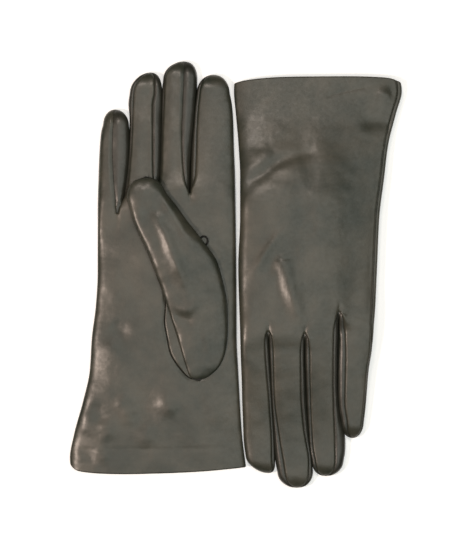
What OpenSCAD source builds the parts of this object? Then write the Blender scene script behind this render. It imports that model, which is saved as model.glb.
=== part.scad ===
// A pair of plain leather gloves lying flat: the right-hand glove palm up with its
// fingers towards +Y, the left-hand glove back up with its fingers towards -Y.
// Millimetres, +Z up, origin at the centre of the pair on the surface it lies on.

/* [Materials] */
// Thickness of the glove leather
leather_t = 0.7; // [0.5:0.1:0.9]
// Thickness of the knitted lining
lining_t = 0.8; // [0.5:0.1:1]
// Diameter of the sewing thread in the seams
thread_d = 0.5; // [0.4:0.1:0.6]

/* [Hand] */
// Thickness of the empty hand and cuff as they lie
hand_gauge = 10.5; // [9.5:0.5:12]
// Depth of the hem that is turned in at the cuff
hem_depth = 16; // [10:1:20]
// How far inside the little-finger edge the side seam runs, as an angle round the cuff
seam_angle = 36; // [25:1:50]

/* [Fingers] */
// Thickness of a finger at its middle
finger_gauge = 9.5; // [8.5:0.5:10]
// Place of the fold line of the right glove's fingers
right_knuckle_y = 65.5; // [65:0.5:67]
// Place of the fold line of the left glove's fingers
left_knuckle_y = -55.5; // [-57:0.5:-55]

/* [Thumb] */
// Thickness of the thumb as it lies on the palm
thumb_gauge = 8.2; // [7:0.2:8.4]
// Lean of the right thumb from the length of the glove
right_thumb_lean = 12.5; // [10:0.5:14]
// Lean of the left thumb, which lies under the palm
left_thumb_lean = 5; // [3:0.5:7]
// Distance from the foot of the thumb hole to the thumb's fold line
thumb_fold = 80; // [76:1:82]
// Size in plan of the left thumb, which is rolled, against the right one
left_thumb_share = 0.9; // [0.86:0.01:0.91]

/* [Cuff] */
// Distance from the middle of the pair to each wrist fold line
wrist_y = 78; // [74:1:84]

/* [Hidden] */

LEATHER = "#4a4742";
FOURCHETTE = "#3c3a36";
LINING = "#2c2b2a";
THREAD = "#1c1b1a";

RIGHT = 1;
LEFT = -1;
air = 0.3;                     // clearance between pieces on different bodies
skin_air = 0.15;               // clearance between the leather and what lies inside it
lining_in = leather_t + skin_air;
hem_in = lining_in;
hand_e = 0.5;                  // squareness of the hand's cross-section
finger_e = 0.8;                // squareness of a finger's cross-section
rest_flat = 0.15;              // how much of the rounded underside is pressed flat
hand_steps = 28;
finger_steps = 20;
lining_steps = 16;
seam_gap = 3;                  // half of the gap at a finger's seam, as an angle
slit = 2;                      // half of the gap at the side seam, as an angle

// Outlines, one row a station: distance along Y, left edge, right edge.
right_hand_rows = [
    [-129.5, -105.8, 4.3], [-125, -107.5, 4.4], [-119, -107.7, 4.2], [-103.7, -105, 3.6],
    [-90, -101.5, 3], [-wrist_y, -98.3, 2.2], [-62, -94.9, 1], [-41, -93.4, 0], [-20, -91, 0],
    [0, -89.8, 0], [21, -89.7, 0], [45, -89.7, -0.4], [right_knuckle_y, -89.3, -0.8]
];
left_hand_rows = [
    [129.5, -0.9, 105.6], [125, -1.3, 107.4], [119, -1.5, 107.7], [104.3, 0, 104],
    [90, 1.4, 100.2], [wrist_y, 2.3, 98], [66, 2.5, 96.5], [45, 2.6, 94], [20, 2, 92.4],
    [-5, 1.5, 91.3], [-20, 2, 90.4], [-36, 2.6, 89], [left_knuckle_y, 3.1, 86.9]
];
right_rows = [
    // index
    [[right_knuckle_y, -27.6, -0.8], [81, -27.2, -1.1], [100.4, -26.2, -1.8], [113.4, -24.7, -3.1],
     [123.2, -23.2, -5.3], [127.1, -20.8, -7.6], [129.3, -15, -13]],
    // middle
    [[right_knuckle_y, -48, -30.2], [81, -47.9, -28.9], [100.4, -47.6, -27.2], [116.7, -47.3, -25.9],
     [126.4, -46.3, -25.9], [132.9, -42.9, -28.6], [136.4, -38.8, -31.4], [138.1, -36, -34]],
    // ring
    [[right_knuckle_y, -68.9, -48.8], [81, -68.3, -48.7], [100.4, -68.6, -48.5], [110.2, -69.8, -48.3],
     [118.6, -68.6, -48.3], [124, -66, -49], [128.8, -61.2, -52.3], [130.7, -58, -56]],
    // little
    [[right_knuckle_y, -89.1, -71.8], [81, -88.4, -70.6], [93.9, -87.1, -70], [100.4, -84.5, -70.6],
     [104.6, -81.4, -73.2], [107.6, -78.5, -76.5]]
];
left_rows = [
    [[left_knuckle_y, 3.1, 20.2], [-68.6, 3.6, 21.3], [-94.6, 4.8, 23.2], [-107.6, 5.8, 24],
     [-117, 8.3, 24.6], [-124.8, 12.6, 24], [-128.7, 18, 20]],
    [[left_knuckle_y, 23.4, 41.8], [-81.6, 24.2, 43.1], [-94.6, 24.8, 44.2], [-107.6, 25.6, 46.2],
     [-120.6, 26.4, 48.3], [-129, 27.6, 49], [-135.6, 32, 45.4], [-138.1, 37.5, 39.5]],
    [[left_knuckle_y, 46.5, 64], [-81.6, 47.5, 65], [-94.6, 48, 66.4], [-107.6, 48.8, 69.6],
     [-115, 49.5, 70], [-122, 51, 68.5], [-128.4, 55, 63.6], [-131, 58, 60]],
    [[left_knuckle_y, 66.5, 86.8], [-68.6, 66.5, 85.4], [-81.6, 66.7, 84.2], [-94.6, 68, 82.9],
     [-101, 71, 80.6], [-105.9, 74.5, 76.5]]
];

// The thumb in its own frame, from the foot of the thumb hole: along, left edge, right edge.
right_thumb_root = [-27.5, -67];
left_thumb_root = [31.5, 67];
thumb_rows = [
    [1.5, -1.4, 4.5], [4, -2.2, 14], [14, -3.2, 23.6], [30, -4.6, 28.8], [48, -6.3, 31.4],
    [66, -8.6, 31], [thumb_fold, -10.8, 26.6], [90, -12.2, 22.6], [101, -14.6, 17.4],
    [112, -16.8, 12.6], [121.7, -17, 7.6], [128, -14.8, 3.6], [132.9, -7.5, -1.5]
];
thumb_heights = [[1.5, 2], [4, 3], [14, 5.2], [30, 7.4], [48, thumb_gauge], [120, thumb_gauge],
                 [128, thumb_gauge - 1.6], [132.9, 3]];

// Height of the undersides along Y. The left hand rides over its own thumb.
left_floor = [[129.5, 0], [104.3, 0.4], [90, 1.9], [66, 6], [45, 8.6], [-36, 8.6],
              [left_knuckle_y, 8.2], [-75, 4.2], [-95, 1], [-106, 0], [-140, 0]];
// Share of that height that is left across X, because the hand sags beside the thumb.
left_sag = [[-5, 0.75], [8, 1], [56, 1], [64, 0.88], [72, 0.62], [80, 0.4], [90, 0.22], [110, 0.1]];
// Thickness of a finger along its length.
finger_heights = [[0, hand_gauge], [16, finger_gauge], [45, finger_gauge - 0.4],
                  [75, finger_gauge - 1.2]];

// Angles round each finger where its seams run: [right seam top, left seam top,
// left seam below, right seam below]; -1 marks an edge that has no fourchette.
right_seams = [[-1, 152, 215, -1], [62, 152, 215, 320], [50, 152, 215, 320], [75, -1, 200, 320]];
left_seams = [[30, -1, -1, 325], [30, 128, 215, 325], [58, 150, 215, 325], [-1, 125, 215, 380]];

function spow(v, e) = sign(v) * pow(abs(v), e);
function column(rows, k) = [for (r = rows) [r[0], r[k]]];
function at(rows, k, y) = lookup(y, column(rows, k));
function hand_rows(side) = side == RIGHT ? right_hand_rows : left_hand_rows;
function knuckle_y(side) = side == RIGHT ? right_knuckle_y : left_knuckle_y;
function finger_rows(side, k) = side == RIGHT ? right_rows[k] : left_rows[k];
function floor_z(side, x, y) = side == RIGHT ? 0 : lookup(y, left_floor) * lookup(x, left_sag);

// One point of a rounded flat cross-section that stands across Y.
function ring_point(y, xl, xr, z0, z1, inset, phi, e) = [
    (xl + xr) / 2 + ((xr - xl) / 2 - inset) * spow(cos(phi), e),
    y,
    (z0 + z1) / 2 + ((z1 - z0) / 2 - inset) * spow(sin(phi), e)
];

// A point lifted onto what lies below it, with the underside pressed flat.
function laid(side, p, lowest) = [p[0], p[1], max(p[2], lowest) + floor_z(side, p[0], p[1])];

function angles(from, to, steps) = [for (i = [0 : steps]) from + (to - from) * i / steps];
function round_angles(steps) = [for (i = [0 : steps - 1]) 360 * i / steps];

// The hand's cross-sections at one inset, for the angles given.
function hand_sheet(side, rows, inset, phis) = [
    for (r = rows) [
        for (phi = phis)
            laid(side, ring_point(r[0], r[1], r[2], -rest_flat, hand_gauge, inset, phi, hand_e), inset)
    ]
];

// How full the hand is at a place: 1 in the middle, 0 at its edges.
function crown(side, x, y) =
    let (rows = hand_rows(side), a = at(rows, 1, y), b = at(rows, 2, y), f = abs(2 * x - a - b) / (b - a))
    pow(max(0, 1 - pow(min(1, f), 2 / hand_e)), hand_e / 2);

// The surface of the palm, which faces up on the right glove and down on the left.
function palm_z(side, x, y) =
    floor_z(side, x, y) + hand_gauge / 2 + side * hand_gauge / 2 * crown(side, x, y);

// A place on the palm from the thumb's own frame.
function thumb_xy(side, u, v) =
    let (right = side == RIGHT, a = right ? right_thumb_lean : left_thumb_lean)
    (right ? right_thumb_root : left_thumb_root)
    + side * (right ? 1 : left_thumb_share) * (u * [-sin(a), cos(a)] + v * [cos(a), sin(a)]);

function thumb_point(side, u, inset, phi) =
    let (a = at(thumb_rows, 1, u), b = at(thumb_rows, 2, u), h = lookup(u, thumb_heights),
         v = (a + b) / 2 + ((b - a) / 2 - inset) * spow(cos(phi), finger_e),
         rise = h / 2 + (h / 2 - inset) * spow(sin(phi), finger_e),
         p = thumb_xy(side, u, v))
    [p[0], p[1], palm_z(side, p[0], p[1]) + side * (air + rise)];

function thumb_sheet(side, us, inset, phis) = [
    for (u = us) [for (phi = phis) thumb_point(side, u, min(inset, lookup(u, thumb_heights) / 2 - 0.2), phi)]
];

function finger_top(side, y) = lookup(abs(y - knuckle_y(side)), finger_heights);

// A finger's cross-sections at one inset; its last ones shrink towards the tip.
function finger_sheet(side, k, inset, phis) =
    let (rows = finger_rows(side, k), tip = rows[len(rows) - 1][0], n = len(rows),
         root_x = (rows[0][1] + rows[0][2]) / 2)
    [for (i = [0 : n - 1])
        let (r = rows[i], fresh = abs(tip - r[0]),
             y = (i == 0 ? r[0] + side * air : r[0] - (i == n - 1 ? side * inset : 0)),
             full = finger_top(side, r[0]),
             gauge = full * sqrt(max(0.06, 1 - pow(max(0, 1 - fresh / 9), 2))),
             z = floor_z(side, root_x, r[0]) + (full - gauge) * 0.45,
             cut = min(inset, (r[2] - r[1]) / 2 - 0.3, gauge / 2 - 0.3))
        [for (phi = phis) ring_point(y, r[1], r[2], z, z + gauge, cut, phi, finger_e)]
    ];

function quad(a, b, c, d) = [[a, b, c], [a, c, d]];
function turned(faces, flip) = flip ? [for (f = faces) [for (i = [len(f) - 1 : -1 : 0]) f[i]]] : faces;

// The closed solid between an outer and an inner sheet of points. A closed sheet joins
// up round its rows, and a tip caps its last row.
module shell(outer, inner, closed = true, tip = false) {
    n = len(outer);
    m = len(outer[0]);
    o = n * m;
    last = closed ? m - 1 : m - 2;
    flip = outer[n - 1][0][1] < outer[0][0][1];
    faces = concat(
        [for (i = [0 : n - 2], j = [0 : last]) let (k = (j + 1) % m)
            each quad(i * m + j, i * m + k, (i + 1) * m + k, (i + 1) * m + j)],
        [for (i = [0 : n - 2], j = [0 : last]) let (k = (j + 1) % m)
            each quad(o + i * m + j, o + (i + 1) * m + j, o + (i + 1) * m + k, o + i * m + k)],
        [for (j = [0 : last]) let (k = (j + 1) % m) each quad(k, j, o + j, o + k)],
        tip ? [[for (j = [0 : m - 1]) (n - 1) * m + j], [for (j = [m - 1 : -1 : 0]) o + (n - 1) * m + j]]
            : [for (j = [0 : last]) let (k = (j + 1) % m, e = (n - 1) * m)
                each quad(e + j, e + k, o + e + k, o + e + j)],
        closed ? [] : [for (i = [0 : n - 2]) each quad(i * m, (i + 1) * m, o + (i + 1) * m, o + i * m)],
        closed ? [] : [for (i = [0 : n - 2]) let (e = m - 1)
            each quad((i + 1) * m + e, i * m + e, o + i * m + e, o + (i + 1) * m + e)]
    );
    polyhedron([for (r = outer) each r, for (r = inner) each r], turned(faces, flip), convexity = 8);
}

// A thread of round section along a path of points that runs mostly level.
module thread(path, d = thread_d, sides = 6) {
    n = len(path);
    sheet = [for (i = [0 : n - 1])
        let (a = path[max(0, i - 1)], b = path[min(n - 1, i + 1)], t = (b - a) / norm(b - a),
             s = [t[1], -t[0], 0] / norm([t[1], -t[0]]), w = cross(s, t))
        [for (j = [0 : sides - 1]) path[i] + d / 2 * (cos(360 * j / sides) * s + sin(360 * j / sides) * w)]
    ];
    faces = concat(
        [for (i = [0 : n - 2], j = [0 : sides - 1]) let (k = (j + 1) % sides)
            each quad(i * sides + j, i * sides + k, (i + 1) * sides + k, (i + 1) * sides + j)],
        [[for (j = [sides - 1 : -1 : 0]) j]],
        [[for (j = [0 : sides - 1]) (n - 1) * sides + j]]
    );
    polyhedron([for (r = sheet) each r], turned(faces, true), convexity = 4);
}

// Rows of the hand or the cuff, which part at the wrist fold with clearance.
function hand_part(side) = [
    for (r = hand_rows(side)) if (side * r[0] >= -wrist_y) abs(r[0]) == wrist_y
        ? [r[0] + side * air / 2, r[1], r[2]] : r
];
function cuff_part(side) = [
    for (r = hand_rows(side)) if (side * r[0] <= -wrist_y) abs(r[0]) == wrist_y
        ? [r[0] - side * air / 2, r[1], r[2]] : r
];

// Angle of the side seam, which runs on the back of the hand by the little finger.
function side_seam(side) = side == RIGHT ? 180 + seam_angle : seam_angle;

// Cuts the thumb hole through the palm side of what it is given.
module with_thumb_hole(side, rim) {
    us = [for (u = [8 : 9 : 71]) u];
    oval = concat(
        [for (u = us) thumb_xy(side, u, at(thumb_rows, 1, u) + rim)],
        [for (i = [len(us) - 1 : -1 : 0]) thumb_xy(side, us[i], at(thumb_rows, 2, us[i]) - rim)]
    );
    middle = hand_gauge / 2 + (side == RIGHT ? 0 : lookup(0, left_floor));
    difference() {
        children();
        translate([0, 0, side == RIGHT ? middle : middle - 20])
            linear_extrude(20) polygon(oval);
    }
}

// Angles round the hand, from one side of the side seam to the other. What lies inside
// the leather is drawn at the same angles, so that it follows the same facets.
function trank_angles(side) = angles(side_seam(side) + slit, side_seam(side) + 360 - slit, hand_steps);

module trank(side, rows) {
    phis = trank_angles(side);
    color(LEATHER) shell(hand_sheet(side, rows, 0, phis), hand_sheet(side, rows, leather_t, phis),
                         closed = false);
}

module trank_hand(side) with_thumb_hole(side, 4) trank(side, hand_part(side));

module trank_cuff(side) trank(side, cuff_part(side));

module lining_hand(side) {
    phis = trank_angles(side);
    color(LINING) with_thumb_hole(side, 5)
        shell(hand_sheet(side, hand_part(side), lining_in, phis),
              hand_sheet(side, hand_part(side), lining_in + lining_t, phis));
}

// The last rows of the cuff inside the hem: the lining starts where the hem ends.
function past_hem(side) = let (rows = hand_rows(side), edge = rows[0][0] + side * hem_depth)
    concat([[edge + side * air, at(rows, 1, edge), at(rows, 2, edge)]],
           [for (r = cuff_part(side)) if (side * r[0] > side * edge + 2) r]);
function inside_hem(side) = let (rows = hand_rows(side), edge = rows[0][0] + side * hem_depth)
    concat([for (r = rows) if (side * r[0] < side * edge - 2) r],
           [[edge, at(rows, 1, edge), at(rows, 2, edge)]]);

module lining_cuff(side) {
    phis = trank_angles(side);
    color(LINING) shell(hand_sheet(side, past_hem(side), lining_in, phis),
                        hand_sheet(side, past_hem(side), lining_in + lining_t, phis));
}

module hem(side) {
    phis = trank_angles(side);
    color(LEATHER) shell(hand_sheet(side, inside_hem(side), hem_in, phis),
                         hand_sheet(side, inside_hem(side), hem_in + leather_t, phis));
}

module side_seam_thread(side, rows) {
    color(THREAD) thread([for (r = hand_sheet(side, rows, leather_t / 2, [side_seam(side)])) r[0]]);
}

function short_of_tip(us, by) = [for (i = [0 : len(us) - 1]) us[i] - (i == len(us) - 1 ? by : 0)];
base_us = [for (r = thumb_rows) if (r[0] < thumb_fold) r[0]];
free_us = [for (r = thumb_rows) if (r[0] > thumb_fold) r[0]];

module thumb_base(side, inset, t, tint) {
    us = concat(base_us, [thumb_fold - air / 2]);
    phis = angles(-48, 228, finger_steps);
    color(tint) shell(thumb_sheet(side, us, inset, phis), thumb_sheet(side, us, inset + t, phis),
                      closed = false);
}

module thumb_free(side, inset, t, tint) {
    us = concat([thumb_fold + air / 2], free_us);
    phis = round_angles(finger_steps);
    color(tint) shell(thumb_sheet(side, short_of_tip(us, inset), inset, phis),
                      thumb_sheet(side, short_of_tip(us, inset + t), inset + t, phis), tip = true);
}

// The thread in the oval seam, from the thumb's fold round the foot of the hole and back.
module thumb_seam(side) {
    off = 1;
    left_us = [72, 60, 48, 30, 14, 4];
    right_us = [4, 14, 30, 48, 66, 76];
    path = concat(
        [for (u = left_us) thumb_xy(side, u, at(thumb_rows, 1, u) - off)],
        [thumb_xy(side, 0.6, -2.4), thumb_xy(side, -0.4, 0.5)],
        [for (u = right_us) thumb_xy(side, u - (u < 10 ? 1.5 : 0), at(thumb_rows, 2, u) + off)]
    );
    // The left palm sags beside its thumb, so that its facets stand proud of palm_z.
    stand_off = thread_d / 2 + (side == RIGHT ? skin_air : air + skin_air);
    color(THREAD) thread([for (p = path) [p[0], p[1], palm_z(side, p[0], p[1]) + side * stand_off]]);
}

// A small loop of thread at the thumb's crotch that ties the pair together for sale.
module pairing_loop() {
    loop_at = [-19.2, 21.8];
    color(THREAD) thread([for (a = [-160 : 20 : 100])
        [loop_at[0] + 1.9 * cos(a), loop_at[1] + 2.8 * sin(a), hand_gauge + 0.9]], d = 0.8);
}

module finger_patch(side, k, from, to, tint) {
    phis = angles(from + seam_gap, to - seam_gap, max(3, round((to - from) * finger_steps / 360)));
    color(tint) shell(finger_sheet(side, k, 0, phis), finger_sheet(side, k, leather_t, phis), closed = false);
}

function seams(side, k) = side == RIGHT ? right_seams[k] : left_seams[k];

// The leather of a finger: one wrap on the index, a front and a back strip on the others.
module finger_leather(side, k) {
    s = seams(side, k);
    if (k == 0)
        finger_patch(side, k, side == RIGHT ? s[2] - 360 : s[0], side == RIGHT ? s[1] : s[3], LEATHER);
    else if (k == 3 && side == RIGHT) {
        finger_patch(side, k, s[0], s[2], LEATHER);
        finger_patch(side, k, s[2], s[3], LEATHER);
    } else if (k == 3) {
        finger_patch(side, k, s[3] - 360, s[1], LEATHER);
        finger_patch(side, k, s[2], s[3], LEATHER);
    } else {
        finger_patch(side, k, s[0], s[1], LEATHER);
        finger_patch(side, k, s[2], s[3], LEATHER);
    }
}

// The side walls of a finger, only where another finger is its neighbour.
module fourchettes(side, k) {
    s = seams(side, k);
    if (s[0] > 0)
        finger_patch(side, k, s[3] - 360, s[0], FOURCHETTE);
    if (s[1] > 0)
        finger_patch(side, k, s[1], s[2], FOURCHETTE);
}

module finger_lining(side, k) {
    phis = round_angles(lining_steps);
    color(LINING) shell(finger_sheet(side, k, lining_in, phis),
                        finger_sheet(side, k, lining_in + lining_t, phis), tip = true);
}

module glove_part(side, name) {
    if (name == "trank_hand") trank_hand(side);
    if (name == "lining_hand") lining_hand(side);
    if (name == "side_seam_hand") side_seam_thread(side, hand_part(side));
    if (name == "thumb_base") thumb_base(side, 0, leather_t, LEATHER);
    if (name == "thumb_base_lining") thumb_base(side, lining_in, lining_t, LINING);
    if (name == "thumb_seam") thumb_seam(side);
    if (name == "trank_cuff") trank_cuff(side);
    if (name == "hem") hem(side);
    if (name == "lining_cuff") lining_cuff(side);
    if (name == "side_seam_cuff") side_seam_thread(side, cuff_part(side));
    if (name == "index_wrap") finger_leather(side, 0);
    if (name == "index_fourchette") fourchettes(side, 0);
    if (name == "index_lining") finger_lining(side, 0);
    if (name == "middle_strips") finger_leather(side, 1);
    if (name == "middle_fourchettes") fourchettes(side, 1);
    if (name == "middle_lining") finger_lining(side, 1);
    if (name == "ring_strips") finger_leather(side, 2);
    if (name == "ring_fourchettes") fourchettes(side, 2);
    if (name == "ring_lining") finger_lining(side, 2);
    if (name == "little_strips") finger_leather(side, 3);
    if (name == "little_fourchette") fourchettes(side, 3);
    if (name == "little_lining") finger_lining(side, 3);
    if (name == "thumb") thumb_free(side, 0, leather_t, LEATHER);
    if (name == "thumb_lining") thumb_free(side, lining_in, lining_t, LINING);
}

GLOVE_PARTS = [
    "trank_hand", "lining_hand", "side_seam_hand", "thumb_base", "thumb_base_lining", "thumb_seam",
    "trank_cuff", "hem", "lining_cuff", "side_seam_cuff",
    "index_wrap", "index_fourchette", "index_lining", "middle_strips", "middle_fourchettes",
    "middle_lining", "ring_strips", "ring_fourchettes", "ring_lining",
    "little_strips", "little_fourchette", "little_lining", "thumb", "thumb_lining"
];
for (name = GLOVE_PARTS) {
    glove_part(RIGHT, name);
    glove_part(LEFT, name);
}
pairing_loop();  // right_pairing_loop
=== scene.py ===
import math

import bpy
import numpy as np
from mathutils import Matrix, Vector, noise
from mathutils.bvhtree import BVHTree
from mathutils.kdtree import KDTree


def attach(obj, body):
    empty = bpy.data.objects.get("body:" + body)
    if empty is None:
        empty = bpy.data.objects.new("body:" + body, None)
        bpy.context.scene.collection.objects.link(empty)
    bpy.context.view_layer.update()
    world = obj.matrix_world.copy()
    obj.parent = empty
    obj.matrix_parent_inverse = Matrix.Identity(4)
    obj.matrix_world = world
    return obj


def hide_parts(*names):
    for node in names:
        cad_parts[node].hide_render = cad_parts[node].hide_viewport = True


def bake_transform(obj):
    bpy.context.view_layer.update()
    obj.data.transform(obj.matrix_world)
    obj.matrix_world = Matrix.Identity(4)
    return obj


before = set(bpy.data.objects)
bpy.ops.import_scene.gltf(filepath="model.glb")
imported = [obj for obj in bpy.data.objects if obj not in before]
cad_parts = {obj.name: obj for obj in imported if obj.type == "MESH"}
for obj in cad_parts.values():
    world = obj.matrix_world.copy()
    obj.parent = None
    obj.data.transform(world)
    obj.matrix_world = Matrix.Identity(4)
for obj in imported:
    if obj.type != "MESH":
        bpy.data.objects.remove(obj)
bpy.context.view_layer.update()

# Lengths in this script are millimetres and MM turns them into the frame's metres.
# Along a glove, t runs from the cuff to the fingertips: t is y on the right glove,
# whose palm is up, and -y on the left glove, whose back is up. x is the frame's own.
MM = 0.001

# Depth of an empty hand and finger, and the exponents of their rounded flat sections.
HAND_GAUGE = 10.5
FINGER_GAUGE = 9.4
HAND_E = 0.48
FINGER_E = 0.62

# Sheets: how thick each is, and how far the lining lies below the leather's outside.
LEATHER_T = 0.7
LINING_T = 0.77
LINING_DEPTH = 0.98
THUMB_LEATHER_T = 0.56
THUMB_LINING_T = 0.32
THUMB_LINING_DEPTH = 0.58

# Quads across a finger's strip and its wall, along a finger, and along the sleeve.
STRIP_COLUMNS = 12
WALL_COLUMNS = 5
FINGER_ROWS = 42
SLEEVE_ROWS = 86

CUFF_SPLIT_T = -63.0
CUFF_MOUTH_T = -127.0
HEM_DEPTH = 16.0
FINGERS = ("index", "middle", "ring", "little")

# A glove's outline in plan: rows of (t, left, right) for the sleeve and the fingers, and
# (t, x) along the seams on a finger's upper side. left_below and right_below are the angles
# round a finger's section where the seams of its underside run. bend is where the fingers'
# folds start and end, counted from the knuckle line. The thumb's own frame has its origin at
# thumb_root, (x, t), its long axis leans by thumb_lean degrees, and its scale is thumb_size.
RIGHT = {
    "name": "right",
    "side": 1,
    "knuckle_t": 65.5,
    "bend": (-9, 10),
    "uneven": 0.46,
    "thumb_root": (-27.5, -67),
    "thumb_lean": 12.5,
    "thumb_size": 1,
    "cuff_edge": [(-108, -120), (-106, -123.5), (-103, -126.2), (-92, -127.8), (-72, -128.4), (-52, -128),
                  (-20, -126.5), (7.5, -123.9)],
    "sleeve": [(-129.5, -106.5, 7.4), (-119, -107.9, 5.8), (-103.7, -105.2, 4), (-82.9, -99.5, 2.7),
               (-62, -94.9, 1.6), (-41.3, -93.6, 0.6), (-20.5, -91, 0.5), (0, -89.8, 0.4),
               (30, -89.7, 0.1), (66, -89.3, -0.5)],
    # From the glove's right edge to its left one. Each finger's rows are (t, left, right).
    "fingers": [
        {"name": "index", "edge": "right", "edge_t": 45,
         "rows": [(30, -29.6, 0.1), (53, -30, -0.2), (66, -29.7, -0.5), (81, -29.1, -1.1),
                  (100.4, -27.4, -1.7), (110, -26.6, -2.5), (117.5, -25.6, -4)],
         "tip": (129.6, -14.5),
         "left_seam": [(53, -29.9), (58, -27.8), (66, -26.4), (100.4, -25.4), (118, -23.6), (127, -21)],
         "left_below": 218},
        {"name": "middle",
         "rows": [(36, -49.8, -29.6), (54, -50.2, -29.6), (67, -49.3, -29.5), (81, -48.8, -28.6),
                  (100.4, -48.4, -26.8), (113.4, -48.2, -25.8), (119, -48, -25.2), (127, -47.2, -24.9)],
         "tip": (138.2, -33.8),
         "right_seam": [(53, -29.9), (58, -32.2), (74.4, -34.5), (93.9, -35.1), (113.4, -34.5),
                        (135.5, -33.6)],
         "left_seam": [(54.9, -50.7), (62, -48.8), (81, -48.2), (126, -46.4)],
         "right_below": 335, "left_below": 236},
        {"name": "ring",
         "rows": [(24, -70.4, -49.6), (40, -73, -49.9), (55, -72.2, -49.9), (66, -70.8, -48.8),
                  (81, -69.5, -48.3), (100.4, -69, -48), (110.2, -70, -47.7), (117.5, -69, -47.7)],
         "tip": (131, -55.4),
         "right_seam": [(54.9, -50.7), (64.7, -53.3), (81, -53.8), (110, -54), (121, -51.8),
                        (126.4, -52.7)],
         "left_seam": [(40, -76.7), (47, -72.6), (58, -70.2), (81, -68.1), (124, -66)],
         "right_below": 338, "left_below": 238},
        {"name": "little", "edge": "left", "edge_t": 30,
         "rows": [(24, -89.6, -70.6), (40, -89.6, -72.6), (63.4, -89.1, -70.2), (80.9, -88.4, -69),
                  (93, -87.3, -68.9), (97, -86.1, -69.3)],
         "tip": (107, -78.2),
         "right_seam": [(40, -76.7), (52, -78), (63.4, -79.3), (81, -80.6), (94, -80.3), (105, -78.4)],
         "right_below": 350, "side_seam": [(24, -85.6), (45, -88), (100, -85)]},
    ],
    # Between neighbours, from the right: top (t, x) and underside (t, x).
    "crotches": [((53, -29.9), (37, -29)), ((54.9, -50.7), (39, -49.6)), ((40, -76.7), (24, -71))],
}
LEFT = {
    "name": "left",
    "side": -1,
    "knuckle_t": 55.5,
    "bend": (-1, 12),
    "uneven": 0.35,
    "thumb_root": (31.5, -67),
    "thumb_lean": 5,
    "thumb_size": 0.9,
    "cuff_edge": [(-2, -122.8), (5, -124.6), (15, -126), (35, -127.1), (74, -127.4), (92, -127),
                  (99, -126.4), (104, -124.9), (108, -122.6)],
    "sleeve": [(-129.5, -0.9, 106), (-119, -1.4, 107.8), (-104.3, -0.2, 104), (-83.5, 1.6, 98.8),
               (-62.7, 2.6, 96.2), (-36.7, 2.6, 93), (-5.5, 1.4, 91.6), (20, 2, 90.4), (36, 2.6, 89),
               (56, 3, 87)],
    "fingers": [
        {"name": "little", "edge": "right", "edge_t": 31,
         "rows": [(24, 66.4, 89.6), (36, 65.6, 89), (49, 64.9, 87.8), (62, 64.8, 85.8), (75, 65, 84.8),
                  (88, 66, 83.7), (95, 67.6, 82.8)],
         "tip": (106.1, 75.4),
         "left_seam": [(23.7, 66.3), (24.5, 68), (27, 69.2), (34.8, 69.8), (53.6, 70.6), (82.2, 70.2),
                       (103, 73.4)],
         "left_below": 200, "side_seam": [(24, 85.9), (36, 87), (50, 87.2), (62, 85.6), (100, 81.4)]},
        {"name": "ring",
         "rows": [(38, 44.2, 65.6), (51, 43.9, 65.4), (68.6, 44.6, 65.4), (81.6, 45.2, 66.1),
                  (94.6, 46.1, 68.2), (100, 46.5, 69.8), (107.6, 47.1, 71.1), (114, 47.7, 71),
                  (121, 48.9, 69.8)],
         "tip": (130.8, 58.3),
         "right_seam": [(23.7, 66.3), (24.5, 64.8), (27, 64), (34.8, 63.3), (63.4, 62.8), (92, 63.4),
                        (125, 64.4)],
         "left_seam": [(38, 44.2), (38.8, 45.8), (41.5, 46.6), (46, 46.9), (73, 47.5), (110.8, 49.2),
                       (124, 51.8)],
         "right_below": 335, "left_below": 212},
        {"name": "middle",
         "rows": [(37, 20.8, 44.3), (52.3, 21.3, 44.3), (68.6, 22.2, 45.1), (81.6, 22.9, 45.7),
                  (94.6, 23.6, 46.6), (107.6, 24.3, 47.6), (119, 25.1, 48.9), (128, 26.6, 50.1)],
         "tip": (138.4, 39.4),
         "right_seam": [(38, 44.2), (38.8, 42.8), (41.5, 42.1), (46, 41.8), (73.1, 42), (101, 44.2),
                        (120.6, 47.6), (132, 46.6)],
         "left_seam": [(36.7, 20.8), (37.5, 22.3), (40, 23), (44.5, 23.2), (82.2, 24.4), (101, 27),
                       (120.6, 30.5), (130, 32)],
         "right_below": 328, "left_below": 212},
        {"name": "index", "edge": "left", "edge_t": 43,
         "rows": [(30, 2.4, 20.8), (53.6, 3, 21.9), (68.6, 3.6, 22.8), (81.6, 3.9, 23.5), (94.6, 4.4, 24.2),
                  (107.6, 4.9, 24.9), (117, 6.1, 25.4)],
         "tip": (128.9, 20.8),
         "right_seam": [(36.7, 20.8), (37.5, 19.5), (40, 19), (44.5, 18.9), (63.4, 20), (82.2, 21.8),
                        (110.8, 23.6), (125, 23.4)],
         "right_below": 325},
    ],
    "crotches": [((23.7, 66.3), (39.7, 66)), ((38, 44.2), (54, 44.4)), ((36.7, 20.8), (52.7, 21.6))],
}

# The left hand rides over its own thumb: height of its underside along t, and the
# share of it that is left across x.
LEFT_LIFT = [(-130, 0), (-104, 0.4), (-88, 2), (-66, 6), (-45, 8.5), (32, 8.5), (50, 7.6), (68, 5.4),
             (86, 2.8), (102, 0.8), (112, 0.1), (140, 0)]
LEFT_SAG = [(-6, 0.7), (8, 1), (52, 1), (64, 0.82), (72, 0.6), (80, 0.4), (90, 0.22), (110, 0.12)]


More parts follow.
